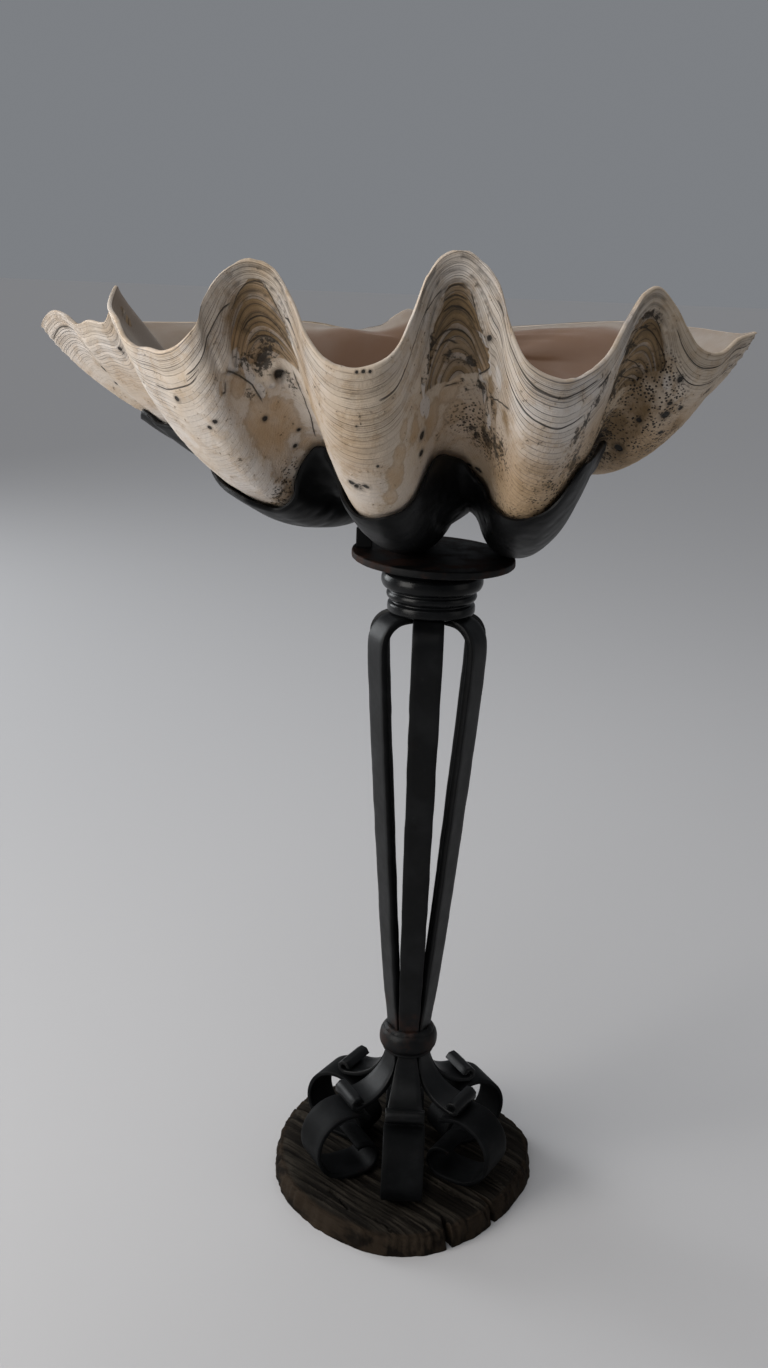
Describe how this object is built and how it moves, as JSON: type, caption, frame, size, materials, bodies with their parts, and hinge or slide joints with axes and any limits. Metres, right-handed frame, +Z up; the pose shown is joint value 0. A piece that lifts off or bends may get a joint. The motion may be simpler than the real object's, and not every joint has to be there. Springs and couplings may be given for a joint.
{
  "type": "mounted giant clam shell",
  "caption": "Half of a giant clam shell, cavity up, resting in a sheet iron cradle on an open column of flat bars with scroll feet and a weathered wood base.",
  "frame": {"origin": "on the underside of the wood base, under the middle of the top plate", "axes": "+Z up along the column, -Y towards the shell's wavy front margin, +Y towards its hinge, +X to the right seen from the front"},
  "size_m": [0.6331, 0.3976, 0.8891],
  "materials": {
    "old_shell": "chalky, weathered, with fine growth lines, dark stain in the grooves and boreholes",
    "cradle_sheet": "black hammered sheet",
    "black_iron": "black, forged, slightly mottled",
    "polished_iron": "black, glossy, turned",
    "rusty_iron": "black with a rust-brown edge",
    "weathered_wood": "grey-brown, deeply grained and cracked"
  },
  "bodies": {
    "root": {"wood_base": "weathered_wood", "foot_scroll_1": "black_iron", "foot_scroll_2": "black_iron", "foot_scroll_3": "black_iron", "foot_scroll_4": "black_iron", "foot_scroll_5": "black_iron", "foot_scroll_6": "black_iron", "column_bar_1": "black_iron", "column_bar_2": "black_iron", "column_bar_3": "black_iron", "column_bar_4": "black_iron", "column_bar_5": "black_iron", "column_bar_6": "black_iron", "neck_ring": "black_iron", "collar": "polished_iron", "top_plate": "rusty_iron", "cradle_post": "black_iron", "shell_cradle": "cradle_sheet", "clam_shell": "old_shell"}
  },
  "joints": []
}
